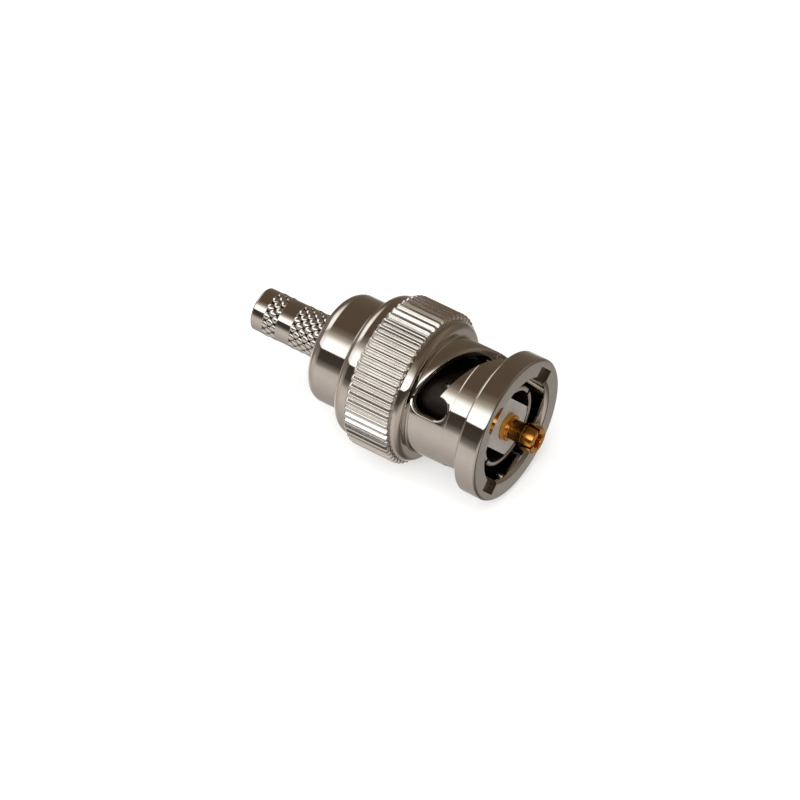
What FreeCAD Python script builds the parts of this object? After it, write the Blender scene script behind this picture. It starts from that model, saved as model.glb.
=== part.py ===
"""Bayonet coaxial plug of the crimp type, in millimetres.

The plug lies along X. The origin is the centre of the stem's rear end, where the cable enters,
and +X points out of the mating end. Y and Z cross the axis, with Z up.
Angles round the axis are counted from +Y towards +Z.
"""
import FreeCAD, Part
import math
import os

# Clearances
press_gap = 0.01
slip_gap = 0.03
running_gap = 0.12
face_gap = 0.03

# How far a cutter runs past the piece that it cuts
overrun = 0.50

# Length of the chords that make up a rounded edge
rounding_chord = 0.52

# Crimp stem, a thin tube on whose outside the cable's braid is clamped
stem_bore_radius = 1.50
stem_wall = 0.53
stem_length = 7.80
stem_tip_rounding = 0.20
stem_seat_step = 0.22
stem_head_thickness = 0.90

# Outer contact, the slotted sleeve that goes into the jack
contact_sleeve_radius = 3.93
sleeve_wall = 0.50
contact_sleeve_recess = 0.95
contact_sleeve_nose = 0.25
contact_slot_count = 4
contact_slot_width = 0.40
contact_slot_length = 5.50
contact_slot_turn = 24.5
contact_seat_step = 0.25
contact_seat_length = 4.50

# Rear body, the turned barrel that everything is pressed into
body_wall = 1.01
body_length = 9.20
body_rear_wall = 2.20
body_rear_rounding = 1.35
body_flange_gap = 0.20
body_flange_thickness = 1.00

# Coupling nut, with the space for the jack's barrel inside its sleeve
jack_space = 0.97
nut_sleeve_wall = 0.65
nut_sleeve_length = 8.10
nut_length = 15.30
nut_front_overhang = 10.10
nut_turn = 38.5
nut_flange_wall = 0.78
nut_flange_thickness = 2.20
nut_flange_rounding = 0.30
nut_bore_chamfer = 0.25
nut_shoulder_rounding = 0.75
nut_collar_rounding = 1.10
nut_lip_thickness = 1.10
nut_cavity_wall = 0.62
washer_space = 0.90

# Straight knurl round the nut
knurl_teeth = 58
knurl_rise = 0.53
knurl_depth = 0.32
knurl_length = 4.60
knurl_from_front = 9.00
knurl_end_bevel = 0.30
knurl_end_drop = 0.20
knurl_crest_share = 0.30

# Cam slots, two of them, which take the jack's lugs: width, then stations as the arc length
# round the sleeve from the entry channel and the distance behind the nut's front face
lug_slot_width = 2.08
entry_channel_width = 2.40
entry_channel_rise = 0.50
cam_stations = ((0.0, 3.40), (3.40, 5.05), (8.90, 6.85), (10.05, 6.95))
ramp_overlap = 0.15
detent_width = 2.20
detent_from_front = 5.70

# Insulators, whose joint lies inside the outer contact
insulator_joint_depth = 2.40
insulator_recess = 0.10
insulator_flat_cut = 1.05
insulator_flat_depth = 3.00

# Centre contact
wire_hole_radius = 0.50
wire_hole_depth = 2.40
pin_tail_wall = 0.55
pin_tail_length = 2.90
pin_shaft_radius = 1.25
pin_shoulder_step = 0.45
pin_shoulder_thickness = 0.70
pin_shaft_proud = 0.55
pin_neck_step = 0.30
pin_neck_length = 1.49
pin_head_step = 0.03
pin_head_length = 1.25
pin_head_rounding = 0.15
pin_socket_wall = 0.66
pin_socket_depth = 2.20
pin_slot_width = 0.24
pin_slot_turn = 83.5

# Gasket and washers
gasket_wall = 0.75
gasket_thickness = 1.20
washer_thickness = 0.40
wave_thickness = 0.25
wave_count = 3

# Radii that follow from the sizes above, from the bore outwards
stem_radius = stem_bore_radius + stem_wall
inner_bore_radius = contact_sleeve_radius - sleeve_wall
insulator_radius = inner_bore_radius - slip_gap
stem_head_radius = inner_bore_radius - slip_gap
contact_tail_radius = contact_sleeve_radius + contact_seat_step
body_radius = contact_tail_radius + press_gap + body_wall
washer_inner_radius = body_radius + running_gap
nut_cavity_radius = body_radius + washer_space
washer_outer_radius = nut_cavity_radius - running_gap
body_flange_radius = nut_cavity_radius - body_flange_gap
nut_shoulder_radius = nut_cavity_radius + nut_cavity_wall
knurl_radius = nut_shoulder_radius + knurl_rise
nut_bore_radius = contact_sleeve_radius + jack_space
nut_sleeve_radius = nut_bore_radius + nut_sleeve_wall
entry_channel_radius = nut_sleeve_radius + entry_channel_rise
nut_flange_radius = entry_channel_radius + nut_flange_wall
cutter_inner_radius = (contact_sleeve_radius + nut_bore_radius) / 2

# Places along the axis that follow from the sizes above
body_rear_x = stem_length
body_front_x = body_rear_x + body_length
body_flange_rear_x = body_front_x - body_flange_thickness
stem_seat_x = body_rear_x + body_rear_wall
stem_head_front_x = stem_seat_x + stem_head_thickness
nut_front_x = body_front_x + nut_front_overhang
nut_rear_x = nut_front_x - nut_length
nut_shoulder_x = nut_front_x - nut_sleeve_length
nut_flange_rear_x = nut_front_x - nut_flange_thickness
nut_cavity_rear_x = nut_rear_x + nut_lip_thickness
nut_cavity_front_x = body_front_x + face_gap
knurl_front_x = nut_front_x - knurl_from_front
knurl_rear_x = knurl_front_x - knurl_length
contact_front_x = nut_front_x - contact_sleeve_recess
contact_rear_x = body_front_x - contact_seat_length
insulator_front_x = contact_front_x - insulator_recess
insulator_joint_x = contact_rear_x + insulator_joint_depth

AXIS_START = FreeCAD.Vector(0, 0, 0)
AXIS = FreeCAD.Vector(1, 0, 0)


def rounded_corner(before, corner, after, rounding):
    """Points of the arc that rounds one corner of an outline, a few short chords apart."""
    to_before = before.sub(corner).normalize()
    to_after = after.sub(corner).normalize()
    half_angle = to_before.getAngle(to_after) / 2
    reach = rounding / math.tan(half_angle)
    bisector = FreeCAD.Vector(to_before).add(to_after).normalize()
    centre = corner.add(bisector.multiply(rounding / math.sin(half_angle)))
    from_centre = corner.add(to_before.multiply(reach)).sub(centre)
    to_end = corner.add(to_after.multiply(reach)).sub(centre)
    turn = from_centre.getAngle(to_end)
    chords = max(1, round(rounding / rounding_chord))
    points = []
    for step in range(chords + 1):
        share = step / chords
        start_part = FreeCAD.Vector(from_centre).multiply(math.sin((1 - share) * turn) / math.sin(turn))
        end_part = FreeCAD.Vector(to_end).multiply(math.sin(share * turn) / math.sin(turn))
        points.append(centre.add(start_part).add(end_part))
    return points


def turned(corners):
    """Solid turned about the X axis, from corners (x, radius) or (x, radius, edge rounding)."""
    points = [FreeCAD.Vector(corner[0], 0, corner[1]) for corner in corners]
    outline = []
    for index, point in enumerate(points):
        rounding = corners[index][2] if len(corners[index]) > 2 else 0
        if rounding:
            after = points[(index + 1) % len(points)]
            outline.extend(rounded_corner(points[index - 1], point, after, rounding))
        else:
            outline.append(point)
    outline.append(outline[0])
    return Part.Face(Part.makePolygon(outline)).revolve(AXIS_START, AXIS, 360)


def onto_axis(shape):
    """Turn a shape built round Z, with its zero angle at X, to lie round X from +Y."""
    turned_shape = shape.copy()
    turned_shape.rotate(AXIS_START, FreeCAD.Vector(1, 1, 1), 120)
    return turned_shape


def spun(shape, degrees):
    """A copy of a shape turned about the plug's axis."""
    copy = shape.copy()
    copy.rotate(AXIS_START, AXIS, degrees)
    return copy


def ring(rear_x, front_x, inner_radius, outer_radius):
    """A plain turned ring or bush."""
    return turned((
        (rear_x, inner_radius),
        (rear_x, outer_radius),
        (front_x, outer_radius),
        (front_x, inner_radius),
    ))


def crimp_stem():
    """Thin tube with a rounded end, a thicker seat in the body and a head behind it."""
    return turned((
        (0, stem_bore_radius),
        (0, stem_radius, stem_tip_rounding),
        (body_rear_x, stem_radius),
        (body_rear_x, stem_radius + stem_seat_step),
        (stem_seat_x, stem_radius + stem_seat_step),
        (stem_seat_x, stem_head_radius),
        (stem_head_front_x, stem_head_radius),
        (stem_head_front_x, stem_bore_radius),
    ))


def rear_body():
    """Barrel with a large rear rounding, a bored inside and a flange that the nut hangs on."""
    stem_hole_radius = stem_radius + stem_seat_step + press_gap
    seat_radius = contact_tail_radius + press_gap
    return turned((
        (body_rear_x, stem_hole_radius),
        (body_rear_x, body_radius, body_rear_rounding),
        (body_flange_rear_x, body_radius),
        (body_flange_rear_x, body_flange_radius),
        (body_front_x, body_flange_radius),
        (body_front_x, seat_radius),
        (contact_rear_x, seat_radius),
        (contact_rear_x, inner_bore_radius),
        (stem_seat_x, inner_bore_radius),
        (stem_seat_x, stem_hole_radius),
    ))


def knurl_outline(x, crest_radius):
    """Closed outline of the knurl's teeth, flat-crested, where their crests stand at one radius."""
    scale = crest_radius / knurl_radius
    tooth = (
        (-knurl_crest_share / 2, knurl_radius),
        (knurl_crest_share / 2, knurl_radius),
        (0.5, knurl_radius - knurl_depth),
    )
    points = []
    for index in range(knurl_teeth):
        for share, radius in tooth:
            angle = 2 * math.pi * (index + share) / knurl_teeth
            across = FreeCAD.Vector(0, math.cos(angle), math.sin(angle)).multiply(radius * scale)
            points.append(FreeCAD.Vector(x, 0, 0).add(across))
    points.append(points[0])
    return Part.makePolygon(points)


def knurled_band():
    """Band of straight teeth round the nut, with the tooth ends bevelled."""
    end_radius = knurl_radius - knurl_end_drop
    teeth = Part.makeLoft([
        knurl_outline(knurl_rear_x, end_radius),
        knurl_outline(knurl_rear_x + knurl_end_bevel, knurl_radius),
        knurl_outline(knurl_front_x - knurl_end_bevel, knurl_radius),
        knurl_outline(knurl_front_x, end_radius),
    ], True, True)
    inner_radius = (nut_cavity_radius + nut_shoulder_radius) / 2
    start = FreeCAD.Vector(knurl_rear_x - overrun, 0, 0)
    return teeth.cut(Part.makeCylinder(inner_radius, knurl_length + 2 * overrun, start, AXIS))


def radial_pocket(angle, rear_x, front_x, width, outer_radius):
    """Cutter for a straight slot with round ends, milled towards the axis at one angle."""
    inner = cutter_inner_radius
    half = width / 2
    rear = FreeCAD.Vector(inner, 0, rear_x)
    front = FreeCAD.Vector(inner, 0, front_x)
    side = FreeCAD.Vector(0, half, 0)
    outline = Part.Wire([
        Part.makeLine(rear.add(side), front.add(side)),
        Part.Arc(front.add(side), front.add(FreeCAD.Vector(0, 0, half)), front.sub(side)).toShape(),
        Part.makeLine(front.sub(side), rear.sub(side)),
        Part.Arc(rear.sub(side), rear.sub(FreeCAD.Vector(0, 0, half)), rear.add(side)).toShape(),
    ])
    pocket = Part.Face(outline).extrude(FreeCAD.Vector(outer_radius - inner, 0, 0))
    pocket.rotate(AXIS_START, FreeCAD.Vector(0, 0, 1), angle)
    return pocket


def helical_ramp(first, second):
    """Cutter for one stretch of cam slot, swept along the helix between two stations."""
    first_arc, first_x = first
    second_arc, second_x = second
    slope = (first_x - second_x) / (second_arc - first_arc)
    start_arc = second_arc + ramp_overlap
    arc_span = start_arc - (first_arc - ramp_overlap)
    pitch = slope * 2 * math.pi * nut_sleeve_radius
    helix = Part.makeHelix(pitch, slope * arc_span, nut_sleeve_radius, 0, True)
    lead_angle = math.atan(slope)
    across = FreeCAD.Vector(0, math.sin(lead_angle), math.cos(lead_angle))
    to_edge = FreeCAD.Vector(across).multiply(lug_slot_width / 2)
    inside = FreeCAD.Vector(cutter_inner_radius, 0, 0)
    outside = FreeCAD.Vector(2 * nut_sleeve_radius - cutter_inner_radius, 0, 0)
    section = Part.makePolygon([
        inside.sub(to_edge), outside.sub(to_edge), outside.add(to_edge), inside.add(to_edge),
        inside.sub(to_edge),
    ])
    ramp = Part.Wire(helix.Edges).makePipeShell([section], True, True)
    ramp.rotate(AXIS_START, FreeCAD.Vector(0, 0, 1), math.degrees(start_arc / nut_sleeve_radius))
    ramp.translate(FreeCAD.Vector(0, 0, second_x - ramp_overlap * slope))
    return ramp


def cam_slot():
    """Cutters for one cam slot: entry channel, ramp, and the end with the detent in front of it."""
    stations = [(arc, nut_front_x - behind_front) for arc, behind_front in cam_stations]
    end_arc, end_x = stations[-1]
    end_angle = math.degrees(end_arc / nut_sleeve_radius)
    detent_x = nut_front_x - detent_from_front
    cutters = [
        radial_pocket(0, stations[0][1], nut_front_x + entry_channel_width,
                      entry_channel_width, entry_channel_radius),
        radial_pocket(end_angle, end_x, detent_x, detent_width, nut_flange_radius),
    ]
    for first, second in zip(stations, stations[1:]):
        cutters.append(helical_ramp(first, second))
    return [onto_axis(cutter) for cutter in cutters]


def coupling_nut():
    """Bayonet nut: rolled rear lip, knurled grip, rounded shoulder, slotted sleeve and flange."""
    lip_radius = washer_inner_radius
    nut = turned((
        (nut_rear_x, lip_radius),
        (nut_rear_x, nut_shoulder_radius, nut_collar_rounding),
        (nut_shoulder_x, nut_shoulder_radius, nut_shoulder_rounding),
        (nut_shoulder_x, nut_sleeve_radius),
        (nut_flange_rear_x, nut_sleeve_radius),
        (nut_flange_rear_x, nut_flange_radius, nut_flange_rounding),
        (nut_front_x, nut_flange_radius, nut_flange_rounding),
        (nut_front_x, nut_bore_radius + nut_bore_chamfer),
        (nut_front_x - nut_bore_chamfer, nut_bore_radius),
        (nut_cavity_front_x, nut_bore_radius),
        (nut_cavity_front_x, nut_cavity_radius),
        (nut_cavity_rear_x, nut_cavity_radius),
        (nut_cavity_rear_x, lip_radius),
    ))
    nut = nut.fuse(knurled_band())
    for cutter in cam_slot():
        nut = nut.cut(cutter).cut(spun(cutter, 180))
    return spun(nut, nut_turn)


def outer_contact():
    """Turned sleeve with a press-in tail and slots that make spring fingers of its front."""
    contact = turned((
        (contact_rear_x, inner_bore_radius),
        (contact_rear_x, contact_tail_radius),
        (body_front_x, contact_tail_radius),
        (body_front_x, contact_sleeve_radius),
        (contact_front_x, contact_sleeve_radius, contact_sleeve_nose),
        (contact_front_x, inner_bore_radius),
    ))
    slot = Part.makeBox(
        contact_slot_length + overrun,
        contact_sleeve_radius + overrun,
        contact_slot_width,
        FreeCAD.Vector(contact_front_x - contact_slot_length, 0, -contact_slot_width / 2),
    )
    for index in range(contact_slot_count):
        turn = contact_slot_turn + index * 360 / contact_slot_count
        contact = contact.cut(spun(slot, turn))
    return contact


def front_insulator():
    """Insulator round the contact's shaft, with a flat on two sides of its front end."""
    shaft_hole = pin_shaft_radius + slip_gap
    shoulder_hole = pin_shaft_radius + pin_shoulder_step + slip_gap
    shoulder_seat_x = insulator_joint_x + pin_shoulder_thickness
    insulator = turned((
        (insulator_joint_x, shoulder_hole),
        (insulator_joint_x, insulator_radius),
        (insulator_front_x, insulator_radius),
        (insulator_front_x, shaft_hole),
        (shoulder_seat_x, shaft_hole),
        (shoulder_seat_x, shoulder_hole),
    ))
    segment = Part.makeBox(
        insulator_flat_depth + overrun,
        insulator_radius,
        2 * (insulator_radius + overrun),
        FreeCAD.Vector(
            insulator_front_x - insulator_flat_depth,
            insulator_radius - insulator_flat_cut,
            -insulator_radius - overrun,
        ),
    )
    for side in (0, 180):
        insulator = insulator.cut(spun(segment, nut_turn + side))
    return insulator


def rear_insulator():
    """Bush that centres the contact's tail and closes the body behind its shoulder."""
    tail_hole = wire_hole_radius + pin_tail_wall + slip_gap
    return ring(stem_head_front_x, insulator_joint_x, tail_hole, insulator_radius)


def centre_contact():
    """Gold-plated contact with a wire hole in its tail and a slotted socket for a head."""
    tail_radius = wire_hole_radius + pin_tail_wall
    shoulder_radius = pin_shaft_radius + pin_shoulder_step
    neck_radius = pin_shaft_radius - pin_neck_step
    head_radius = pin_shaft_radius + pin_head_step
    socket_radius = head_radius - pin_socket_wall
    tail_rear_x = insulator_joint_x - pin_tail_length
    wire_hole_end_x = tail_rear_x + wire_hole_depth
    shoulder_front_x = insulator_joint_x + pin_shoulder_thickness - face_gap
    shaft_front_x = insulator_front_x + pin_shaft_proud
    neck_front_x = shaft_front_x + pin_neck_length
    head_front_x = neck_front_x + pin_head_length
    socket_end_x = head_front_x - pin_socket_depth
    contact = turned((
        (wire_hole_end_x, 0),
        (wire_hole_end_x, wire_hole_radius),
        (tail_rear_x, wire_hole_radius),
        (tail_rear_x, tail_radius),
        (insulator_joint_x, tail_radius),
        (insulator_joint_x, shoulder_radius),
        (shoulder_front_x, shoulder_radius),
        (shoulder_front_x, pin_shaft_radius),
        (shaft_front_x, pin_shaft_radius),
        (shaft_front_x, neck_radius),
        (neck_front_x, neck_radius),
        (neck_front_x, head_radius),
        (head_front_x, head_radius, pin_head_rounding),
        (head_front_x, socket_radius),
        (socket_end_x, socket_radius),
        (socket_end_x, 0),
    ))
    slot = Part.makeBox(
        pin_head_length + overrun,
        2 * (head_radius + overrun),
        pin_slot_width,
        FreeCAD.Vector(neck_front_x, -head_radius - overrun, -pin_slot_width / 2),
    )
    for quarter in (0, 90):
        contact = contact.cut(spun(slot, pin_slot_turn + quarter))
    return contact


def gasket():
    """Soft ring round the foot of the outer contact, against which the jack's rim seals."""
    inner_radius = contact_sleeve_radius + slip_gap
    return ring(body_front_x, body_front_x + gasket_thickness, inner_radius, inner_radius + gasket_wall)


def thrust_washer(rear_x):
    """Flat washer that runs between the body and the nut's wall."""
    return ring(rear_x, rear_x + washer_thickness, washer_inner_radius, washer_outer_radius)


def wave_edge(radius, middle_x, amplitude):
    """Closed wavy curve round the axis at one radius."""
    point_count = 12 * wave_count
    points = []
    for index in range(point_count):
        angle = 2 * math.pi * index / point_count
        x = middle_x + amplitude * math.cos(wave_count * angle)
        points.append(FreeCAD.Vector(x, radius * math.cos(angle), radius * math.sin(angle)))
    curve = Part.BSplineCurve()
    curve.interpolate(points, PeriodicFlag=True)
    return curve.toShape()


def wave_washer(rear_x, height):
    """Spring washer: a thin ring bent into waves that fill the given height."""
    amplitude = (height - wave_thickness) / 2
    middle_x = rear_x + height / 2
    edges = {}
    for side in (-1, 1):
        for radius in (washer_inner_radius, washer_outer_radius):
            edges[side, radius] = wave_edge(radius, middle_x + side * wave_thickness / 2, amplitude)
    walls = [
        Part.makeRuledSurface(edges[-1, washer_inner_radius], edges[-1, washer_outer_radius]),
        Part.makeRuledSurface(edges[-1, washer_outer_radius], edges[1, washer_outer_radius]),
        Part.makeRuledSurface(edges[1, washer_outer_radius], edges[1, washer_inner_radius]),
        Part.makeRuledSurface(edges[1, washer_inner_radius], edges[-1, washer_inner_radius]),
    ]
    return Part.Solid(Part.Shell(walls))


def build_parts():
    """All pieces of the plug by node name."""
    rear_washer_x = nut_cavity_rear_x + face_gap
    front_washer_x = body_flange_rear_x - face_gap - washer_thickness
    springs_rear_x = rear_washer_x + washer_thickness + face_gap
    spring_height = (front_washer_x - face_gap - springs_rear_x - face_gap) / 2
    return {
        "crimp_stem": crimp_stem(),
        "rear_body": rear_body(),
        "coupling_nut": coupling_nut(),
        "outer_contact": outer_contact(),
        "front_insulator": front_insulator(),
        "rear_insulator": rear_insulator(),
        "centre_contact": centre_contact(),
        "gasket": gasket(),
        "front_thrust_washer": thrust_washer(front_washer_x),
        "spring_washer_front": wave_washer(springs_rear_x + spring_height + face_gap, spring_height),
        "spring_washer_rear": wave_washer(springs_rear_x, spring_height),
        "rear_thrust_washer": thrust_washer(rear_washer_x),
    }


os.makedirs("parts", exist_ok=True)
for node, shape in build_parts().items():
    shape.exportStep("parts/" + node + ".step")
    print(node, "valid", shape.isValid(), "solids", len(shape.Solids), "volume %.3f" % shape.Volume)
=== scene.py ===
"""Looks of a bayonet coaxial plug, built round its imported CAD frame.

Sizes are in millimetres until a mesh is made, and the axis lies along X as in the frame.
Angles round the axis are counted from +Y towards +Z.
"""

import math

import bmesh
import bpy
from mathutils import Matrix, Vector


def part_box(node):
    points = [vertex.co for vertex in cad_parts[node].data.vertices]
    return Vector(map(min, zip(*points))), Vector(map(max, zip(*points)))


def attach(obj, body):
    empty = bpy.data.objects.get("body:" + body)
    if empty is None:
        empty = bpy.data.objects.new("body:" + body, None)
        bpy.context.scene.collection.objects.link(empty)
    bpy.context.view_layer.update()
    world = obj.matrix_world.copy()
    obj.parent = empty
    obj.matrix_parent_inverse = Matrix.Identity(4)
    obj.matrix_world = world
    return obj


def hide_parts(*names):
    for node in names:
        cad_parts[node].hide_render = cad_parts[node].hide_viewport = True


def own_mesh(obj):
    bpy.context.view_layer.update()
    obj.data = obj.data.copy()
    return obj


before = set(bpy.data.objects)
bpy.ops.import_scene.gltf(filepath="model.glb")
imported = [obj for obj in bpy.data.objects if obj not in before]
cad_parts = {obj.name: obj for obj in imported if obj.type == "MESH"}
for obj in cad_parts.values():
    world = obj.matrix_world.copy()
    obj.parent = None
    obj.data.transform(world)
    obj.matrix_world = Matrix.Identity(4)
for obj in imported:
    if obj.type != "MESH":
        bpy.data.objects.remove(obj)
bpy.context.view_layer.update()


# Crimp stem: a thin plated tube, turned from brass, with a rounded end.
# Two bands of diamond knurl grip the cable's braid. They stand in shallow turned recesses.

MM = 0.001
LATHE_STEPS = 288
TOOL_LINES_PER_MM = 14.0
CLOUDS_PER_MM = 0.55
GRIME_PER_MM = 5.0


def srgb(code):
    """Linear colour from a hex code as it is seen on screen."""
    channels = [int(code[i:i + 2], 16) / 255 for i in (1, 3, 5)]
    linear = [c / 12.92 if c <= 0.04045 else ((c + 0.055) / 1.055) ** 2.4 for c in channels]
    return (*linear, 1.0)


def add_node(tree, kind, settings=None, links=None):
    """Add a node, set its inputs or properties by name, and link outputs to its inputs."""
    node = tree.nodes.new(kind)
    for name, value in (settings or {}).items():
        if isinstance(name, int) or name in node.inputs:
            node.inputs[name].default_value = value
        else:
            setattr(node, name, value)
    for name, source in (links or {}).items():
        tree.links.new(source, node.inputs[name])
    return node


def new_material(name):
    """An empty node material with its output, ready for nodes."""
    material = bpy.data.materials.new(name)
    material.use_nodes = True
    material.node_tree.nodes.clear()
    output = add_node(material.node_tree, "ShaderNodeOutputMaterial")
    return material, material.node_tree, output


def millimetres(tree):
    """Object coordinates in millimetres, and the distance from the axis."""
    place = add_node(tree, "ShaderNodeTexCoord").outputs["Object"]
    scaled = add_node(tree, "ShaderNodeVectorMath", {"operation": "SCALE", "Scale": 1 / MM},
                      {0: place})
    across = add_node(tree, "ShaderNodeVectorMath", {"operation": "MULTIPLY", 1: (0, 1, 1)},
                      {0: scaled.outputs[0]})
    distance = add_node(tree, "ShaderNodeVectorMath", {"operation": "LENGTH"},
                        {0: across.outputs[0]})
    return scaled.outputs[0], distance.outputs["Value"]


def plated_metal(name, light, dark, smooth_roughness, worn_roughness, line_height, shade_radii=None):
    """Plated turned metal: fine tool lines round the axis, cloudy handling marks in the gloss.

    An optional pair of radii paints shade into the pits: the metal darkens from the second radius
    down to the first.
    """
    material, tree, output = new_material(name)
    place, distance = millimetres(tree)
    along = add_node(tree, "ShaderNodeSeparateXYZ", {}, {0: place}).outputs["X"]
    line_place = add_node(tree, "ShaderNodeMath", {"operation": "ADD"}, {0: along, 1: distance})
    lines = add_node(tree, "ShaderNodeTexNoise",
                     {"noise_dimensions": "1D", "Scale": TOOL_LINES_PER_MM, "Detail": 3.0,
                      "Roughness": 0.6},
                     {"W": line_place.outputs[0]})
    clouds = add_node(tree, "ShaderNodeTexNoise",
                      {"Scale": CLOUDS_PER_MM, "Detail": 5.0, "Roughness": 0.62, "Distortion": 0.4},
                      {"Vector": place})
    grime = add_node(tree, "ShaderNodeTexNoise", {"Scale": GRIME_PER_MM, "Detail": 4.0},
                     {"Vector": place})
    tint = add_node(tree, "ShaderNodeMix", {"data_type": "RGBA", 6: light, 7: dark},
                    {0: clouds.outputs["Fac"]})
    gloss = add_node(tree, "ShaderNodeMapRange",
                     {"From Min": 0.35, "From Max": 0.7, "To Min": smooth_roughness,
                      "To Max": worn_roughness}, {"Value": clouds.outputs["Fac"]})
    speck = add_node(tree, "ShaderNodeMapRange",
                     {"From Min": 0.45, "From Max": 0.75, "To Min": 0.0, "To Max": 0.05},
                     {"Value": grime.outputs["Fac"]})
    rough = add_node(tree, "ShaderNodeMath", {"operation": "ADD"},
                     {0: gloss.outputs[0], 1: speck.outputs[0]})
    bump = add_node(tree, "ShaderNodeBump", {"Strength": 0.5, "Distance": line_height * MM},
                    {"Height": lines.outputs["Fac"]})
    if shade_radii:
        # Painted shade: below the second radius the colour is mixed towards dark brown, as shade in
        # the pits.
        pit_shade = add_node(tree, "ShaderNodeMapRange",
                        {"From Min": shade_radii[0], "From Max": shade_radii[1],
                         "To Min": 1.0, "To Max": 0.0}, {"Value": distance})
        tint = add_node(tree, "ShaderNodeMix", {"data_type": "RGBA", 7: srgb("#2a241d")},
                        {0: pit_shade.outputs[0], 6: tint.outputs[2]})
        rough = add_node(tree, "ShaderNodeMath", {"operation": "MULTIPLY_ADD", 1: 0.3},
                         {0: pit_shade.outputs[0], 2: rough.outputs[0]})
    shader = add_node(tree, "ShaderNodeBsdfPrincipled", {"Metallic": 1.0},
                      {"Base Color": tint.outputs[2], "Roughness": rough.outputs[0],
                       "Normal": bump.outputs[0]})
    tree.links.new(shader.outputs[0], output.inputs["Surface"])
    return material


# Bright nickel over turned brass: nearly a mirror with a warm cast, clouded a little by handling.
nickel = plated_metal("nickel_plated_brass", srgb("#dad6cf"), srgb("#cbc5bb"), 0.02, 0.06, 0.0006)


def mesh_object(name, vertices, faces):
    """A new object at the origin, from points in millimetres, with its faces turned outwards."""
    mesh = bpy.data.meshes.new(name)
    mesh.from_pydata([[c * MM for c in vertex] for vertex in vertices], [], faces)
    shape = bmesh.new()
    shape.from_mesh(mesh)
    bmesh.ops.remove_doubles(shape, verts=shape.verts, dist=1e-8)
    bmesh.ops.recalc_face_normals(shape, faces=shape.faces)
    shape.to_mesh(mesh)
    shape.free()
    obj = bpy.data.objects.new(name, mesh)
    bpy.context.scene.collection.objects.link(obj)
    return obj


def loft(name, rings, closed=False):
    """Closed mesh through rings of points: the last joins the first, or both ends are filled."""
    count = len(rings[0])
    faces = []
    for index in range(len(rings) if closed else len(rings) - 1):
        here = index * count
        ahead = ((index + 1) % len(rings)) * count
        for j in range(count):
            k = (j + 1) % count
            faces.append((here + j, here + k, ahead + k, ahead + j))
    if not closed:
        faces.append(tuple(range(count)))
        faces.append(tuple(range((len(rings) - 1) * count, len(rings) * count)))
    return mesh_object(name, [point for ring in rings for point in ring], faces)


def rounded_outline(corners, chords=6):
    """Points of a closed outline whose corners (x, radius, rounding) are rounded by arcs."""
    points = []
    for index, corner in enumerate(corners):
        here = Vector(corner[:2])
        if len(corner) < 3:
            points.append(here)
            continue
        before = (Vector(corners[index - 1][:2]) - here).normalized()
        after = (Vector(corners[(index + 1) % len(corners)][:2]) - here).normalized()
        half = before.angle(after) / 2
        reach = corner[2] / math.tan(half)
        centre = here + (before + after).normalized() * corner[2] / math.sin(half)
        start = here + before * reach - centre
        end = here + after * reach - centre
        turn = start.angle(end)
        for step in range(chords + 1):
            share = step / chords
            arm = start * math.sin((1 - share) * turn) + end * math.sin(share * turn)
            points.append(centre + arm / math.sin(turn))
    return points


def lathe(name, corners, chords=6, steps=LATHE_STEPS):
    """Closed mesh turned about the X axis from an outline of (x, radius[, rounding])."""
    outline = rounded_outline(corners, chords)
    rings = []
    for step in range(steps):
        angle = 2 * math.pi * step / steps
        rings.append([(p[0], p[1] * math.cos(angle), p[1] * math.sin(angle)) for p in outline])
    return loft(name, rings, closed=True)


def applied(obj):
    """Swap an object's mesh for the one its modifiers make, and drop the modifiers."""
    graph = bpy.context.evaluated_depsgraph_get()
    mesh = bpy.data.meshes.new_from_object(obj.evaluated_get(graph), depsgraph=graph)
    obj.modifiers.clear()
    obj.data = mesh
    return obj


def smoothed(obj, sharp_degrees=34):
    """Smooth shading that keeps sharp edges, with normals weighted by the larger faces."""
    obj.data.shade_smooth()
    obj.data.set_sharp_from_angle(angle=math.radians(sharp_degrees))
    weighted = obj.modifiers.new("weighted", "WEIGHTED_NORMAL")
    weighted.keep_sharp = True
    weighted.weight = 60
    return applied(obj)


def dressed(obj, material, body, slot, *nodes):
    """Give a finished piece its material and body, and hide the CAD nodes it stands for.

    The slot argument is not used.
    """
    obj.data.materials.clear()
    obj.data.materials.append(material)
    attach(obj, body)
    if nodes:
        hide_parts(*nodes)
    return obj


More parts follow.
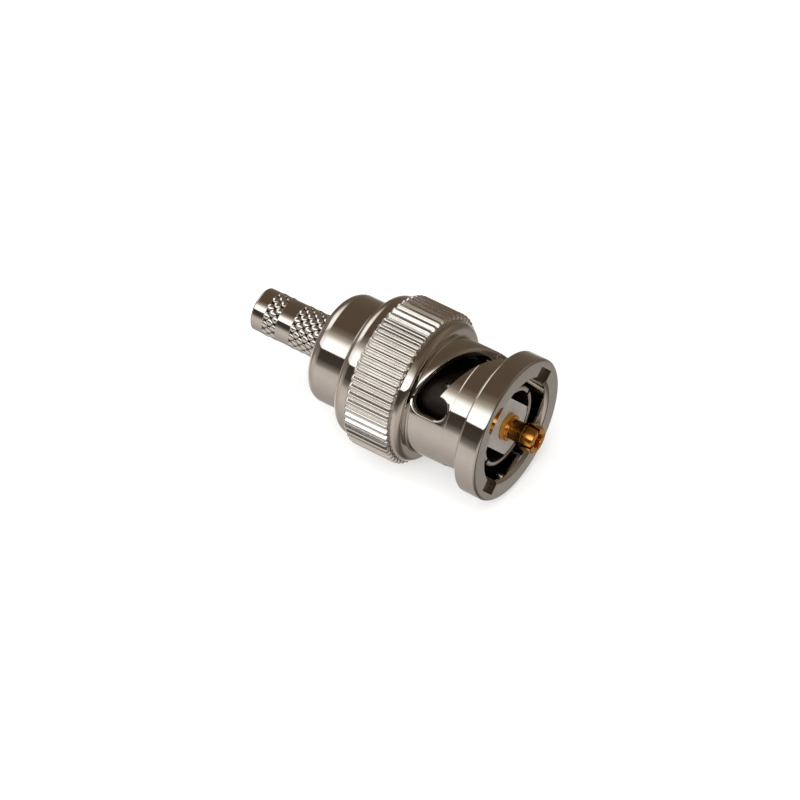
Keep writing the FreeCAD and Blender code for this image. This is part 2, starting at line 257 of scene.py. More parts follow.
def repeat_group():
    """Geometry nodes that repeat a mesh round the X axis, in rows that may be staggered."""
    group = bpy.data.node_groups.new("repeat_round_axis", "GeometryNodeTree")
    face = group.interface
    face.new_socket("Geometry", in_out="INPUT", socket_type="NodeSocketGeometry")
    for name, kind in (("Around", "NodeSocketInt"), ("Rows", "NodeSocketInt"),
                       ("Row Spacing", "NodeSocketFloat"), ("First Row", "NodeSocketFloat"),
                       ("Stagger", "NodeSocketFloat"), ("Material", "NodeSocketMaterial")):
        face.new_socket(name, in_out="INPUT", socket_type=kind)
    face.new_socket("Geometry", in_out="OUTPUT", socket_type="NodeSocketGeometry")
    given = add_node(group, "NodeGroupInput").outputs
    count = add_node(group, "ShaderNodeMath", {"operation": "MULTIPLY"},
                     {0: given["Around"], 1: given["Rows"]})
    points = add_node(group, "GeometryNodePoints", {}, {"Count": count.outputs[0]})
    index = add_node(group, "GeometryNodeInputIndex").outputs[0]
    row_share = add_node(group, "ShaderNodeMath", {"operation": "DIVIDE"},
                         {0: index, 1: given["Around"]})
    row = add_node(group, "ShaderNodeMath", {"operation": "FLOOR"}, {0: row_share.outputs[0]})
    column = add_node(group, "ShaderNodeMath", {"operation": "MODULO"},
                      {0: index, 1: given["Around"]})
    odd = add_node(group, "ShaderNodeMath", {"operation": "MODULO", 1: 2.0}, {0: row.outputs[0]})
    shifted = add_node(group, "ShaderNodeMath", {"operation": "MULTIPLY_ADD"},
                       {0: odd.outputs[0], 1: given["Stagger"], 2: column.outputs[0]})
    turn = add_node(group, "ShaderNodeMath", {"operation": "DIVIDE"},
                    {0: shifted.outputs[0], 1: given["Around"]})
    angle = add_node(group, "ShaderNodeMath", {"operation": "MULTIPLY", 1: 2 * math.pi},
                     {0: turn.outputs[0]})
    place = add_node(group, "ShaderNodeMath", {"operation": "MULTIPLY_ADD"},
                     {0: row.outputs[0], 1: given["Row Spacing"], 2: given["First Row"]})
    position = add_node(group, "ShaderNodeCombineXYZ", {}, {"X": place.outputs[0]})
    euler = add_node(group, "ShaderNodeCombineXYZ", {}, {"X": angle.outputs[0]})
    rotation = add_node(group, "FunctionNodeEulerToRotation", {}, {0: euler.outputs[0]})
    placed = add_node(group, "GeometryNodeSetPosition", {},
                      {"Geometry": points.outputs[0], "Position": position.outputs[0]})
    instances = add_node(group, "GeometryNodeInstanceOnPoints", {},
                         {"Points": placed.outputs[0], "Instance": given["Geometry"],
                          "Rotation": rotation.outputs[0]})
    real = add_node(group, "GeometryNodeRealizeInstances", {}, {"Geometry": instances.outputs[0]})
    painted = add_node(group, "GeometryNodeSetMaterial", {},
                       {"Geometry": real.outputs[0], "Material": given["Material"]})
    add_node(group, "NodeGroupOutput", {}, {"Geometry": painted.outputs[0]})
    return group


repeater = repeat_group()


def repeated(obj, material, around, rows=1, spacing=0.0, first=0.0, stagger=0.0):
    """Repeat a mesh round the axis by geometry nodes, and keep the result as a plain mesh."""
    modifier = obj.modifiers.new("repeat", "NODES")
    modifier.node_group = repeater
    values = {"Around": around, "Rows": rows, "Row Spacing": spacing * MM,
              "First Row": first * MM, "Stagger": stagger, "Material": material}
    for item in repeater.interface.items_tree:
        if item.item_type == "SOCKET" and item.in_out == "INPUT" and item.name in values:
            modifier[item.identifier] = values[item.name]
    return applied(obj)


STEM_RADIUS = 2.03
KNURL_FLOOR = 1.93
DIAMONDS_AROUND = 14
DIAMOND_ROW = 0.47
REAR_BAND = (1.05, 2.93)
FRONT_BAND = (3.90, 8.13)
BAND_MARGIN = 0.24
BAND_SLOPE = 0.08
DIAMOND_POINTS = 16
DIAMOND_ROUNDNESS = 1.35
DIAMOND_LEVELS = ((0.86, -0.06), (0.84, 0.01), (0.72, 0.07), (0.52, 0.115), (0.24, 0.142))

# The same nickel over a rolled knurl, rougher, and painted a lighter colour as a sheen, with
# painted shade in the pits.
stem_knurl_sheen_and_shade = plated_metal("stem_knurl_sheen_and_shade", srgb("#f0ede8"), srgb("#e2ddd5"), 0.08, 0.16, 0.0006,
                            shade_radii=(1.935, 2.02))
stem = lathe("stem", (
    (0.0, 1.50, 0.05),
    (0.0, STEM_RADIUS, 0.20),
    (REAR_BAND[0] + BAND_MARGIN, STEM_RADIUS, 0.03),
    (REAR_BAND[0] + BAND_MARGIN + BAND_SLOPE, KNURL_FLOOR, 0.03),
    (REAR_BAND[1] - BAND_MARGIN - BAND_SLOPE, KNURL_FLOOR, 0.03),
    (REAR_BAND[1] - BAND_MARGIN, STEM_RADIUS, 0.03),
    (FRONT_BAND[0] + BAND_MARGIN, STEM_RADIUS, 0.03),
    (FRONT_BAND[0] + BAND_MARGIN + BAND_SLOPE, KNURL_FLOOR, 0.03),
    (7.80, KNURL_FLOOR),
    (7.80, 2.25),
    (10.0, 2.25),
    (10.0, 3.40),
    (10.9, 3.40),
    (10.9, 1.50),
))
dressed(smoothed(stem), nickel, "plug_body", "nickel_plating", "crimp_stem")
stem.data.materials.append(stem_knurl_sheen_and_shade)
for face in stem.data.polygons:
    if any(start * MM < face.center.x < end * MM for start, end in (REAR_BAND, FRONT_BAND)):
        face.material_index = 1


def diamond():
    """One bump of the knurl, a pillow with worn edges and top, over the axis at +Z."""
    half_width = math.pi * STEM_RADIUS / DIAMONDS_AROUND
    rings = []
    for share, height in DIAMOND_LEVELS:
        ring = []
        for step in range(DIAMOND_POINTS):
            angle = 2 * math.pi * step / DIAMOND_POINTS
            along, across = math.cos(angle), math.sin(angle)
            x = math.copysign(abs(along) ** DIAMOND_ROUNDNESS, along) * DIAMOND_ROW * share
            y = math.copysign(abs(across) ** DIAMOND_ROUNDNESS, across) * half_width * share
            ring.append((x, y, KNURL_FLOOR + height - y * y / (2 * STEM_RADIUS)))
        rings.append(ring)
    return loft("diamond", rings)


for band_name, band in (("stem_knurl_rear", REAR_BAND), ("stem_knurl_front", FRONT_BAND)):
    rows = round((band[1] - band[0]) / DIAMOND_ROW) - 1
    band_object = repeated(diamond(), stem_knurl_sheen_and_shade, DIAMONDS_AROUND, rows, DIAMOND_ROW,
                           band[0] + DIAMOND_ROW, 0.5)
    band_object.name = band_name
    dressed(smoothed(band_object, sharp_degrees=40), stem_knurl_sheen_and_shade, "plug_body", "nickel_plating")


# Rear body: a barrel turned from brass and nickel plated, with a large rounding at the back.
# It is plain behind the nut, which hangs on its hidden flange.

rear_body = lathe("body_barrel", (
    (7.80, 2.26, 0.04),
    (7.80, 5.20, 1.35),
    (16.0, 5.20),
    (16.0, 5.90, 0.05),
    (17.0, 5.90, 0.05),
    (17.0, 4.19),
    (12.5, 4.19),
    (12.5, 3.43),
    (10.0, 3.43),
    (10.0, 2.26),
), chords=12)
dressed(smoothed(rear_body), nickel, "plug_body", "nickel_plating", "rear_body")


# Coupling nut: one piece turned from brass and nickel plated. From the rear it has a rolled
# collar, a knurled grip, a rounded shoulder, a sleeve with two cam slots and a bayonet flange.
# The slots and the flange's two channels are milled, and the slots' outer edges are broken.

NUT_TURN = math.radians(38.5)
SLEEVE_RADIUS = 5.55
NUT_BORE = 4.90
FLANGE_RADIUS = 6.83
NUT_FRONT = 27.1
RING_DEPTH = 0.02

nut = lathe("nut_shell", (
    (11.80, 5.32, 0.10),
    (11.80, 6.72, 1.05),
    (13.45, 6.72),
    (13.58, 6.90, 0.04),
    (18.02, 6.90, 0.04),
    (18.15, 6.72),
    (19.00, 6.72, 0.66),
    (19.00, SLEEVE_RADIUS, 0.14),
    (22.72, SLEEVE_RADIUS, 0.03),
    (22.80, SLEEVE_RADIUS - RING_DEPTH, 0.03),
    (22.88, SLEEVE_RADIUS, 0.03),
    (24.90, SLEEVE_RADIUS, 0.10),
    (24.90, FLANGE_RADIUS, 0.28),
    (NUT_FRONT, FLANGE_RADIUS, 0.28),
    (NUT_FRONT, 5.15, 0.30),
    (26.85, NUT_BORE, 0.25),
    (17.03, NUT_BORE),
    (17.03, 6.10),
    (12.90, 6.10),
    (12.90, 5.32),
), chords=8)

CUTTER_INSIDE = 4.41
CUTTER_CROWN = 0.4
CUTTER_CLEAR = 0.03
ROUND_END_TURNS = range(6, 90, 7)
EDGE_TURNS = (0, 25, 50, 75)


def slot_cutter(name, path, half_width, top_radius=None, rounding=(0.0, 0.0)):
    """Cutter along a path of (arc, x) on the sleeve, with round ends and walls square to it.

    The pair of roundings is for its outer edges, on its left and its right as the path runs.
    """
    stations = []
    for index, point in enumerate(path):
        before = Vector(path[max(index - 1, 0)])
        after = Vector(path[min(index + 1, len(path) - 1)])
        stations.append((Vector(point), (after - before).normalized(), 0.0, 1.0))
    first, last = stations[0], stations[-1]
    for bend in [math.radians(degrees) for degrees in ROUND_END_TURNS]:
        stations.insert(0, (first[0], first[1], -math.sin(bend), math.cos(bend)))
        stations.append((last[0], last[1], math.sin(bend), math.cos(bend)))
    rings = []
    for point, direction, along, across in stations:
        normal = Vector((-direction[1], direction[0]))
        ring = []
        for side, order in ((1, 1), (0, 1), (-1, -1)):
            edge = rounding[0 if side > 0 else 1]
            edge += (max(rounding) - edge) * abs(along)
            levels = [(0.0, None)]
            for bend in [math.radians(degrees) for degrees in EDGE_TURNS]:
                levels.append((edge * (1 - math.cos(bend)), edge * (math.sin(bend) - 1)))
            levels.append((edge, CUTTER_CLEAR))
            for grown, rise in levels[::order] if side else [(0.0, CUTTER_CROWN)]:
                reach = half_width + grown
                offset = direction * along * reach + normal * across * side * reach
                surface = math.sqrt(SLEEVE_RADIUS ** 2 - offset[0] ** 2)
                if rise is None:
                    radius = CUTTER_INSIDE
                elif top_radius:
                    radius = top_radius
                elif side:
                    radius = surface + rise
                else:
                    radius = SLEEVE_RADIUS + rise
                angle = NUT_TURN + point[0] / SLEEVE_RADIUS
                outward = Vector((0, math.cos(angle), math.sin(angle)))
                sideways = Vector((0, -math.sin(angle), math.cos(angle)))
                ring.append(outward * radius + sideways * offset[0]
                            + Vector((point[1] + offset[1], 0, 0)))
        rings.append(ring)
    return loft(name, rings)


def cut(obj, cutters):
    """Take cutters out of a piece one by one, on both sides of the axis."""
    for cutter in cutters:
        for turn in (0, math.pi):
            cutter.data.transform(Matrix.Rotation(turn, 4, "X"))
            boolean = obj.modifiers.new("cut", "BOOLEAN")
            boolean.operation = "DIFFERENCE"
            boolean.solver = "EXACT"
            boolean.object = cutter
            applied(obj)
        bpy.data.objects.remove(cutter)


EASING_ROUNDS = 3


def smooth_path(corners, spacing):
    """Points along a path, spaced evenly between corners whose turns are eased."""
    points = [Vector(c) for c in corners]
    for _ in range(EASING_ROUNDS):
        eased = [points[0]]
        for a, b in zip(points, points[1:]):
            eased.extend((a.lerp(b, 0.25), a.lerp(b, 0.75)))
        points = eased + [points[-1]]
    dense = []
    for a, b in zip(points, points[1:]):
        count = max(1, round((b - a).length / spacing))
        dense.extend(a.lerp(b, i / count) for i in range(count))
    return [tuple(p) for p in dense + [points[-1]]]


CHANNEL_HALF_WIDTH = 1.20
CHANNEL_RADIUS = 6.05
CHANNEL_END = 23.70
CAM_HALF_WIDTH = 1.03
DETENT_HALF_WIDTH = 1.05
DETENT = (10.05, 20.15)
DETENT_FRONT = 21.40
SMALL_EDGE = 0.08
WIDE_EDGE = 0.28

# The cam slot runs from the channel's end round the sleeve and ends in the detent's pocket.
cam_path = smooth_path(((0.0, CHANNEL_END), (3.40, 22.05), (8.90, 20.25), DETENT),
                       spacing=0.22)
cut(nut, [
    slot_cutter("channel", [(0.0, 28.6), (0.0, 26.0), (0.0, CHANNEL_END)], CHANNEL_HALF_WIDTH,
                top_radius=CHANNEL_RADIUS),
    slot_cutter("channel_edge", [(0.0, 24.6), (0.0, 24.2), (0.0, CHANNEL_END)],
                CHANNEL_HALF_WIDTH, rounding=(SMALL_EDGE, SMALL_EDGE)),
    slot_cutter("cam", cam_path, CAM_HALF_WIDTH, rounding=(SMALL_EDGE, WIDE_EDGE)),
    slot_cutter("detent", [(DETENT[0], DETENT_FRONT), (DETENT[0], 20.7), DETENT],
                DETENT_HALF_WIDTH, rounding=(WIDE_EDGE, SMALL_EDGE)),
])
dressed(smoothed(nut), nickel, "nut", "nickel_plating", "coupling_nut")

# The channels' walls are painted dark brown as shade, and made half matt for the cutter's marks
# under the nickel.
# They are the faces between the bore and the channel's floor that stand along the axis.
channel_wall_shade = plated_metal("channel_wall_shade_plating", srgb("#a99885"), srgb("#6f6150"), 0.24, 0.38, 0.002)
nut.data.materials.append(channel_wall_shade)
across_channels = Vector((0, -math.sin(NUT_TURN), math.cos(NUT_TURN)))
for face in nut.data.polygons:
    beyond_bore = math.hypot(face.center.y, face.center.z) > (NUT_BORE + 0.02) * MM
    below_floor = math.hypot(face.center.y, face.center.z) < (CHANNEL_RADIUS + 0.03) * MM
    beside = abs(face.center.dot(across_channels)) < (CHANNEL_HALF_WIDTH + 0.05) * MM
    ahead = face.center.x > (CHANNEL_END - 1.3) * MM
    if beyond_bore and below_floor and beside and ahead and abs(face.normal.x) < 0.7:
        face.material_index = 1


TEETH = 58
TEETH_REAR = 13.5
TEETH_FRONT = 18.1
TEETH_FOOT = 6.928
TOOTH_SIDE = ((0.392, -0.18), (0.390, -0.02), (0.372, 0.015), (0.275, 0.115), (0.180, 0.225),
              (0.140, 0.270), (0.080, 0.303), (0.0, 0.32))
TOOTH_END = ((0.0, 0.25, 0.86), (0.04, 0.15, 0.92), (0.10, 0.075, 0.96), (0.18, 0.025, 0.99),
             (0.30, 0.0, 1.0))


def knurl_tooth():
    """One tooth of the straight knurl over the axis at +Z, with a rounded crest and ends."""
    section = list(TOOTH_SIDE) + [(-t, h) for t, h in TOOTH_SIDE[-2::-1]]
    rings = []
    for into, drop, width in TOOTH_END:
        rings.append([(TEETH_REAR + into, t * width, TEETH_FOOT + h - drop) for t, h in section])
    for into, drop, width in TOOTH_END[::-1]:
        rings.append([(TEETH_FRONT - into, t * width, TEETH_FOOT + h - drop) for t, h in section])
    return loft("nut_knurl", rings)


# The nickel on the rolled teeth is a little rougher, and painted a lighter colour as a sheen, so
# each tooth carries a soft white streak.
grip_sheen_plating = plated_metal("grip_sheen_plating", srgb("#f0ede8"), srgb("#e2ddd5"), 0.15, 0.24, 0.0006)
knurl = repeated(knurl_tooth(), grip_sheen_plating, TEETH)
dressed(smoothed(knurl, sharp_degrees=50), grip_sheen_plating, "nut", "nickel_plating", "coupling_nut")


# Outer contact: a thin sleeve turned from brass and slotted into four fingers, which spring
# inside the jack. It is pressed into the body. Its nickel is painted dark brown as shade deep
# inside the nut; only the rim is plain bright nickel.

CONTACT_FRONT = 26.15
CONTACT_RADIUS = 3.93
CONTACT_BORE = 3.43
FINGER_SLOT_END = 20.65
FINGER_SLOT_TURNS = (24.5, 114.5)
UNSHADED_FROM = 25.6

outer_contact = lathe("outer_contact_sleeve", (
    (12.5, CONTACT_BORE),
    (12.5, 4.18),
    (17.0, 4.18),
    (17.0, CONTACT_RADIUS),
    (CONTACT_FRONT, CONTACT_RADIUS, 0.25),
    (CONTACT_FRONT, CONTACT_BORE, 0.06),
))


def block(name, low, high, turn_degrees):
    """A box between two corners, turned about the X axis."""
    rings = [[(x, low[1], low[2]), (x, high[1], low[2]),
              (x, high[1], high[2]), (x, low[1], high[2])] for x in (low[0], high[0])]
    box = loft(name, rings)
    box.data.transform(Matrix.Rotation(math.radians(turn_degrees), 4, "X"))
    return box


cut(outer_contact, [
    block("finger_slot", (FINGER_SLOT_END, 2.5, -0.20), (27.0, 5.0, 0.20), turn)
    for turn in FINGER_SLOT_TURNS
])

# Nickel painted dark brown as shade deep in the nut, and half matt.
contact_shade = plated_metal("contact_shade_plating", srgb("#453e36"), srgb("#2e2924"), 0.36, 0.48, 0.0008)
dressed(smoothed(outer_contact), contact_shade, "plug_body", "nickel_plating", "outer_contact")
outer_contact.data.materials.append(nickel)
for face in outer_contact.data.polygons:
    if face.center.x > UNSHADED_FROM * MM:
        face.material_index = 1


# Front and rear insulators: turned fluoropolymer that holds the centre contact on the axis.
# A flat is milled on two sides of the front one's end.

PLASTIC_CLOUDS_PER_MM = 1.3
TURNED_RINGS_PER_MM = 7.0
INSULATOR_FRONT = 26.05
INSULATOR_BORE = 1.28
FLAT_END = 23.05
FLAT_HEIGHT = 2.35
FLAT_TURN = 38.5


def waxy_plastic(name, colour, shade):
    """Soft white plastic with faint turning rings and a little cloudiness."""
    material, tree, output = new_material(name)
    place, distance = millimetres(tree)
    clouds = add_node(tree, "ShaderNodeTexNoise", {"Scale": PLASTIC_CLOUDS_PER_MM, "Detail": 5.0},
                      {"Vector": place})
    tint = add_node(tree, "ShaderNodeMix", {"data_type": "RGBA", 6: colour, 7: shade},
                    {0: clouds.outputs["Fac"]})
    rings = add_node(tree, "ShaderNodeTexNoise",
                     {"noise_dimensions": "1D", "Scale": TURNED_RINGS_PER_MM, "Detail": 2.0},
                     {"W": distance})
    bump = add_node(tree, "ShaderNodeBump", {"Strength": 0.5, "Distance": 0.004 * MM},
                    {"Height": rings.outputs["Fac"]})
    rough = add_node(tree, "ShaderNodeMapRange", {"To Min": 0.34, "To Max": 0.5},
                     {"Value": clouds.outputs["Fac"]})
    depth = (0.8 * MM, 0.7 * MM, 0.6 * MM)
    shader = add_node(tree, "ShaderNodeBsdfPrincipled",
                      {"Subsurface Weight": 0.25, "Subsurface Radius": depth},
                      {"Base Color": tint.outputs[2], "Roughness": rough.outputs[0],
                       "Normal": bump.outputs[0]})
    tree.links.new(shader.outputs[0], output.inputs["Surface"])
    return material


# Fluoropolymer, turned: waxy and faintly see-through, a white whose colour is greyed as painted
# shade, with a soft sheen.
plastic = waxy_plastic("fluoropolymer", srgb("#c6c1bb"), srgb("#b0aaa2"))
insulator = lathe("insulator_front", (
    (14.9, 1.73),
    (14.9, 3.40),
    (INSULATOR_FRONT, 3.40, 0.06),
    (INSULATOR_FRONT, INSULATOR_BORE, 0.04),
    (15.6, INSULATOR_BORE),
    (15.6, 1.73),
))
cut(insulator, [block("flat", (FLAT_END, FLAT_HEIGHT, -4.0), (27.0, 4.0, 4.0), FLAT_TURN)])
dressed(smoothed(insulator), plastic, "plug_body", "insulator_plastic", "front_insulator")
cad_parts["rear_insulator"].data.materials.clear()
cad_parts["rear_insulator"].data.materials.append(plastic)


# Centre contact: a turned brass pin with a shoulder, a neck and a hollow head slotted crosswise.
# It is pressed into both insulators.

CONTACT_STEPS = 192
PETAL_SLOT_TURNS = (83.5, 173.5)

# Gold plate over turned brass: a deep orange where it reflects the dark room.
gold = plated_metal("gold_plated_brass", srgb("#f8ba60"), srgb("#e0983f"), 0.12, 0.20, 0.0008)
contact = lathe("centre_pin", (
    (14.40, 0.0),
    (14.40, 0.50),
    (12.00, 0.50, 0.03),
    (12.00, 1.05, 0.08),
    (14.90, 1.05),
    (14.90, 1.70, 0.04),
    (15.57, 1.70, 0.04),
    (15.57, 1.25),
    (26.60, 1.25, 0.10),
    (26.60, 0.95, 0.06),
    (28.09, 0.95, 0.06),
    (28.09, 1.28, 0.08),
    (29.34, 1.28, 0.15),
    (29.34, 0.62, 0.10),
    (27.14, 0.62),
    (27.14, 0.0),
), steps=CONTACT_STEPS)
cut(contact, [
    block("petal_slot", (28.0, 0.2, -0.12), (29.9, 2.0, 0.12), turn) for turn in PETAL_SLOT_TURNS
])
dressed(smoothed(contact), gold, "plug_body", "gold_plating", "centre_contact")


# Gasket and washers: a moulded silicone ring seals the jack's barrel, and stamped rings of
# spring steel lie inside the nut. The two wavy ones pull the nut back on the jack's lugs.
# All are seen only through gaps.

RUBBER_GRAIN_PER_MM = 9.0


def matt_rubber(name, colour):
    """Dark moulded silicone with a fine grain."""
    material, tree, output = new_material(name)
    place, _ = millimetres(tree)
    grain = add_node(tree, "ShaderNodeTexNoise", {"Scale": RUBBER_GRAIN_PER_MM, "Detail": 4.0},
                     {"Vector": place})
    rough = add_node(tree, "ShaderNodeMapRange", {"To Min": 0.55, "To Max": 0.75},
                     {"Value": grain.outputs["Fac"]})
    bump = add_node(tree, "ShaderNodeBump", {"Strength": 0.5, "Distance": 0.01 * MM},
                    {"Height": grain.outputs["Fac"]})
    shader = add_node(tree, "ShaderNodeBsdfPrincipled", {"Base Color": colour},
                      {"Roughness": rough.outputs[0], "Normal": bump.outputs[0]})
    tree.links.new(shader.outputs[0], output.inputs["Surface"])
    return material


# Silicone rubber, moulded: dark and matt. Spring steel, stamped: plain grey, half bright.
rubber = matt_rubber("silicone_rubber", srgb("#3a3633"))
spring_steel = plated_metal("spring_steel", srgb("#b9b8b4"), srgb("#9c9a95"), 0.25, 0.36, 0.0012)

gasket = lathe("gasket_ring", (
    (17.0, 3.96, 0.15),
    (17.0, 4.71, 0.15),
    (18.2, 4.71, 0.30),
    (18.2, 3.96, 0.15),
))
dressed(smoothed(gasket), rubber, "plug_body", "silicone", "gasket")

for node in ("front_thrust_washer", "rear_thrust_washer"):
    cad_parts[node].data.materials.clear()
    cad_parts[node].data.materials.append(spring_steel)

WASHER_RADII = (5.32, 5.98)
WASHER_THICKNESS = 0.25
WASHER_WAVES = 3
WASHER_STEPS = 180


def wave_washer(name, node):
    """Thin spring ring in three waves, sized by its CAD node; the real ring flattens as the nut is
    drawn forward.
    """
    low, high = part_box(node)
    middle = (low[0] + high[0]) / 2 / MM
    amplitude = ((high[0] - low[0]) / MM - WASHER_THICKNESS) / 2
    rings = []
    for step in range(WASHER_STEPS):
        angle = 2 * math.pi * step / WASHER_STEPS
        x = middle + amplitude * math.cos(WASHER_WAVES * angle)
        ring = []
        for radius, side in ((0, -1), (1, -1), (1, 1), (0, 1)):
            r = WASHER_RADII[radius]
            ring.append((x + side * WASHER_THICKNESS / 2, r * math.cos(angle),
                         r * math.sin(angle)))
        rings.append(ring)
    washer = dressed(smoothed(loft(name, rings, closed=True)), spring_steel, "plug_body",
                     "spring_steel", node)
    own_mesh(washer)


wave_washer("wave_washer_front", "spring_washer_front")
wave_washer("wave_washer_rear", "spring_washer_rear")


# Floor, lamps, world and camera. The floor is plain and pale, and keeps the object's shadow.
# Glossy rays see the room that the plating reflects in the photograph.

def seen_rays(tree):
    """1 where a ray comes straight from the camera, off gloss or through glass."""
    path = add_node(tree, "ShaderNodeLightPath").outputs
    first = add_node(tree, "ShaderNodeMath", {"operation": "MAXIMUM"},
                     {0: path["Is Camera Ray"], 1: path["Is Glossy Ray"]})
    return add_node(tree, "ShaderNodeMath", {"operation": "MAXIMUM"},
                    {0: first.outputs[0], 1: path["Is Transmission Ray"]}).outputs[0]


def floor_material():
    """Matt white that reads as the background, with the shadows left in it."""
    material, tree, output = new_material("floor_white")
    diffuse = add_node(tree, "ShaderNodeBsdfDiffuse", {"Color": srgb("#cecdcb")})
    strength = add_node(tree, "ShaderNodeMath", {"operation": "MULTIPLY", 1: 0.42},
                        {0: seen_rays(tree)})
    glow = add_node(tree, "ShaderNodeEmission", {"Color": (1, 1, 1, 1)},
                    {"Strength": strength.outputs[0]})
    both = add_node(tree, "ShaderNodeAddShader", {}, {0: diffuse.outputs[0], 1: glow.outputs[0]})
    tree.links.new(both.outputs[0], output.inputs["Surface"])
    return material


FLOOR_REACH = 900
FLOOR_HEIGHT = -7.25
floor = mesh_object("floor", [(x * FLOOR_REACH, y * FLOOR_REACH, FLOOR_HEIGHT)
                              for x, y in ((-1, -1), (1, -1), (1, 1), (-1, 1))], [(0, 1, 2, 3)])
floor.data.materials.append(floor_material())
floor.visible_glossy = False


def soft_lamp(name, place, target, size, power):
    """A large rectangular soft lamp that points at a place."""
    lamp = bpy.data.lights.new(name, "AREA")
    lamp.shape = "RECTANGLE"
    lamp.size, lamp.size_y = size[0] * MM, size[1] * MM
    lamp.energy = power
    obj = bpy.data.objects.new(name, lamp)
    obj.location = Vector(place) * MM
    obj.rotation_euler = (Vector(target) - Vector(place)).to_track_quat("-Z", "Y").to_euler()
    obj.visible_camera = False
    obj.visible_glossy = False
    bpy.context.scene.collection.objects.link(obj)


OBJECT_MIDDLE = (13, 0, 0)
soft_lamp("lamp_top", (13, -60, 260), OBJECT_MIDDLE, size=(420, 320), power=1.0)
soft_lamp("lamp_front", (60, -300, 230), OBJECT_MIDDLE, size=(260, 200), power=0.9)

# What the plating reflects, as (angle, red, green, blue) round the plug's axis from +Y towards
# +Z: a brown room overhead, a white screen over the viewer's side, a dark gap below it and a
# pale table. Their strengths started from colours read off the photograph's turned surfaces,
# divided by the plating's own colour, and were then changed.
# Glossy rays see ROOM_END where they leave mostly towards the stem's end, ROOM_REAR where they
# leave a little that way, and ROOM_FRONT where they leave towards the mating end.
ROOM_PEAK = 2.0
ROOM_END = (
    (-180, 0.32, 0.29, 0.27), (-163, 0.68, 0.62, 0.57), (-141, 0.66, 0.60, 0.55),
    (-121, 0.55, 0.50, 0.46), (-100, 0.56, 0.51, 0.47), (-80, 0.64, 0.60, 0.57),
    (-66, 1.15, 1.12, 1.08), (-52, 0.48, 0.42, 0.38), (-38, 0.20, 0.17, 0.14),
    (-20, 0.14, 0.12, 0.08), (10, 0.17, 0.14, 0.10), (26, 0.30, 0.24, 0.20),
    (42, 1.10, 1.02, 0.98), (70, 1.50, 1.48, 1.46), (98, 1.45, 1.42, 1.40),
    (110, 0.50, 0.44, 0.38), (120, 0.90, 0.85, 0.82), (130, 1.30, 1.30, 1.32),
    (147.5, 1.30, 1.30, 1.32), (149, 0.16, 0.13, 0.11), (165, 0.26, 0.22, 0.19),
    (180, 0.32, 0.29, 0.27),
)
ROOM_REAR = (
    (-180, 0.26, 0.23, 0.21), (-172, 0.70, 0.64, 0.61), (-158, 0.75, 0.69, 0.66),
    (-146, 0.70, 0.65, 0.63), (-130, 0.61, 0.56, 0.54), (-110, 0.50, 0.46, 0.44),
    (-90, 0.45, 0.41, 0.39), (-74, 0.42, 0.39, 0.37), (-62, 0.74, 0.71, 0.69),
    (-52, 0.96, 0.93, 0.90), (-38, 0.62, 0.58, 0.54), (-22, 0.22, 0.19, 0.15),
    (0, 0.15, 0.12, 0.09), (45, 0.13, 0.095, 0.065), (96, 0.13, 0.09, 0.065),
    (108, 0.26, 0.22, 0.18), (117, 0.62, 0.56, 0.48), (127, 1.60, 1.62, 1.66),
    (147.5, 1.75, 1.80, 1.88), (149, 0.06, 0.045, 0.035), (170, 0.07, 0.06, 0.05),
    (180, 0.24, 0.21, 0.19),
)
ROOM_FRONT = (
    (-180, 0.48, 0.43, 0.40), (-172, 0.64, 0.57, 0.53), (-138, 0.58, 0.52, 0.49),
    (-124, 0.40, 0.36, 0.34), (-108, 0.22, 0.19, 0.18), (-90, 0.12, 0.10, 0.09),
    (-74, 0.12, 0.10, 0.09), (-62, 0.26, 0.24, 0.22), (-52, 0.36, 0.335, 0.315),
    (-40, 0.30, 0.27, 0.25), (-20, 0.16, 0.135, 0.11), (0, 0.18, 0.14, 0.11),
    (28, 0.24, 0.19, 0.15), (44, 0.22, 0.17, 0.13), (70, 0.14, 0.11, 0.08),
    (98, 0.17, 0.13, 0.09), (106, 0.20, 0.16, 0.13), (117, 0.62, 0.56, 0.48),
    (127, 1.60, 1.62, 1.66), (147.5, 1.75, 1.80, 1.88), (149, 0.06, 0.045, 0.035),
    (166, 0.09, 0.075, 0.065), (180, 0.48, 0.43, 0.40),
)


def room_ramp(tree, share, stops):
    """Colour ramp round the axis, from a list of (angle, red, green, blue)."""
    ramp = add_node(tree, "ShaderNodeValToRGB", {}, {0: share})
    elements = ramp.color_ramp.elements
    elements[0].color = (*[c / ROOM_PEAK for c in stops[0][1:]], 1.0)
    elements[1].color = elements[0].color
    for degrees, *colour in stops[1:-1]:
        element = elements.new((degrees + 180) / 360)
        element.color = (*[c / ROOM_PEAK for c in colour], 1.0)
    return ramp.outputs[0]


def blended(tree, along, low, high, base, other):
    """One colour up to low along the axis and another from high on, with an eased change."""
    share = add_node(tree, "ShaderNodeMapRange",
                     {"interpolation_type": "SMOOTHSTEP", "From Min": low, "From Max": high},
                     {"Value": along}).outputs[0]
    mix = add_node(tree, "ShaderNodeMix", {"data_type": "RGBA"}, {0: share, 6: base})
    if isinstance(other, tuple):
        mix.inputs[7].default_value = other
    else:
        tree.links.new(other, mix.inputs[7])
    return mix.outputs[2]


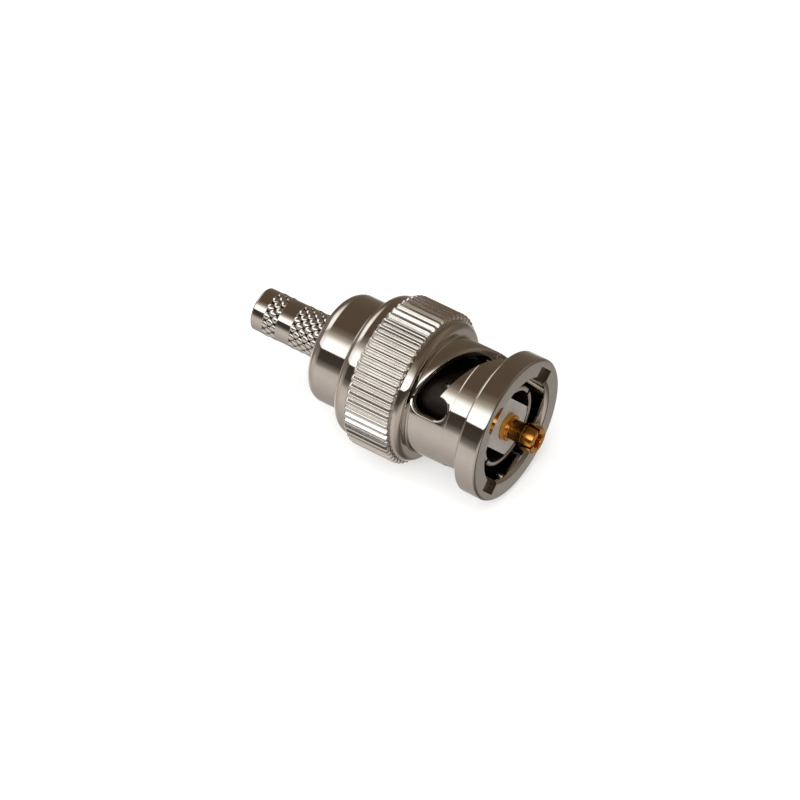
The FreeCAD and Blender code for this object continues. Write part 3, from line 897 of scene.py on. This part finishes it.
def studio_world():
    """World that is white to the camera, even to matt surfaces, and a room to glossy ones.

    Straight along the axis the room is dark at both ends.
    """
    world = bpy.data.worlds.new("studio")
    bpy.context.scene.world = world
    world.use_nodes = True
    tree = world.node_tree
    tree.nodes.clear()
    direction = add_node(tree, "ShaderNodeTexCoord").outputs["Generated"]
    parts = add_node(tree, "ShaderNodeSeparateXYZ", {}, {0: direction}).outputs
    angle = add_node(tree, "ShaderNodeMath", {"operation": "ARCTAN2"},
                     {0: parts["Z"], 1: parts["Y"]})
    share = add_node(tree, "ShaderNodeMath",
                     {"operation": "MULTIPLY_ADD", 1: 0.5 / math.pi, 2: 0.5},
                     {0: angle.outputs[0]}).outputs[0]
    mixed = room_ramp(tree, share, ROOM_REAR)
    for low, high, other in ((-0.15, 0.20, room_ramp(tree, share, ROOM_FRONT)),
                             (-0.50, -0.66, room_ramp(tree, share, ROOM_END)),
                             (-0.87, -0.955, (0.12, 0.10, 0.09, 1.0)),
                             (0.86, 1.0, (0.035, 0.03, 0.025, 1.0))):
        mixed = blended(tree, parts["X"], low, high, mixed, other)
    path = add_node(tree, "ShaderNodeLightPath").outputs
    plain = add_node(tree, "ShaderNodeMath", {"operation": "MULTIPLY_ADD", 1: 0.65, 2: 0.35},
                     {0: path["Is Camera Ray"]})
    even = add_node(tree, "ShaderNodeBackground", {"Color": (1, 1, 1, 1)},
                    {"Strength": plain.outputs[0]})
    room = add_node(tree, "ShaderNodeBackground", {"Strength": ROOM_PEAK}, {"Color": mixed})
    seen = add_node(tree, "ShaderNodeMixShader", {},
                    {0: path["Is Glossy Ray"], 1: even.outputs[0], 2: room.outputs[0]})
    add_node(tree, "ShaderNodeOutputWorld", {}, {"Surface": seen.outputs[0]})


studio_world()

# The camera looks from the photograph's side, in a nearly parallel view.
FRAME_WIDTH = 70.67
DISTANCE = 700.0
SENSOR_WIDTH = 36.0
look_at = Vector((15.82, -1.58, -1.26))
azimuth, elevation = math.radians(33.8), math.radians(46.2)
towards = Vector((math.sin(azimuth) * math.cos(elevation),
                  -math.cos(azimuth) * math.cos(elevation), math.sin(elevation)))
camera_data = bpy.data.cameras.new("camera")
camera_data.sensor_width = SENSOR_WIDTH
camera_data.lens = SENSOR_WIDTH * DISTANCE / FRAME_WIDTH
camera_data.clip_start, camera_data.clip_end = 0.01, 20.0
camera = bpy.data.objects.new("camera", camera_data)
camera.location = (look_at + towards * DISTANCE) * MM
camera.rotation_euler = (-towards).to_track_quat("-Z", "Y").to_euler()
bpy.context.scene.collection.objects.link(camera)
bpy.context.scene.camera = camera
bpy.context.scene.view_settings.view_transform = "Standard"
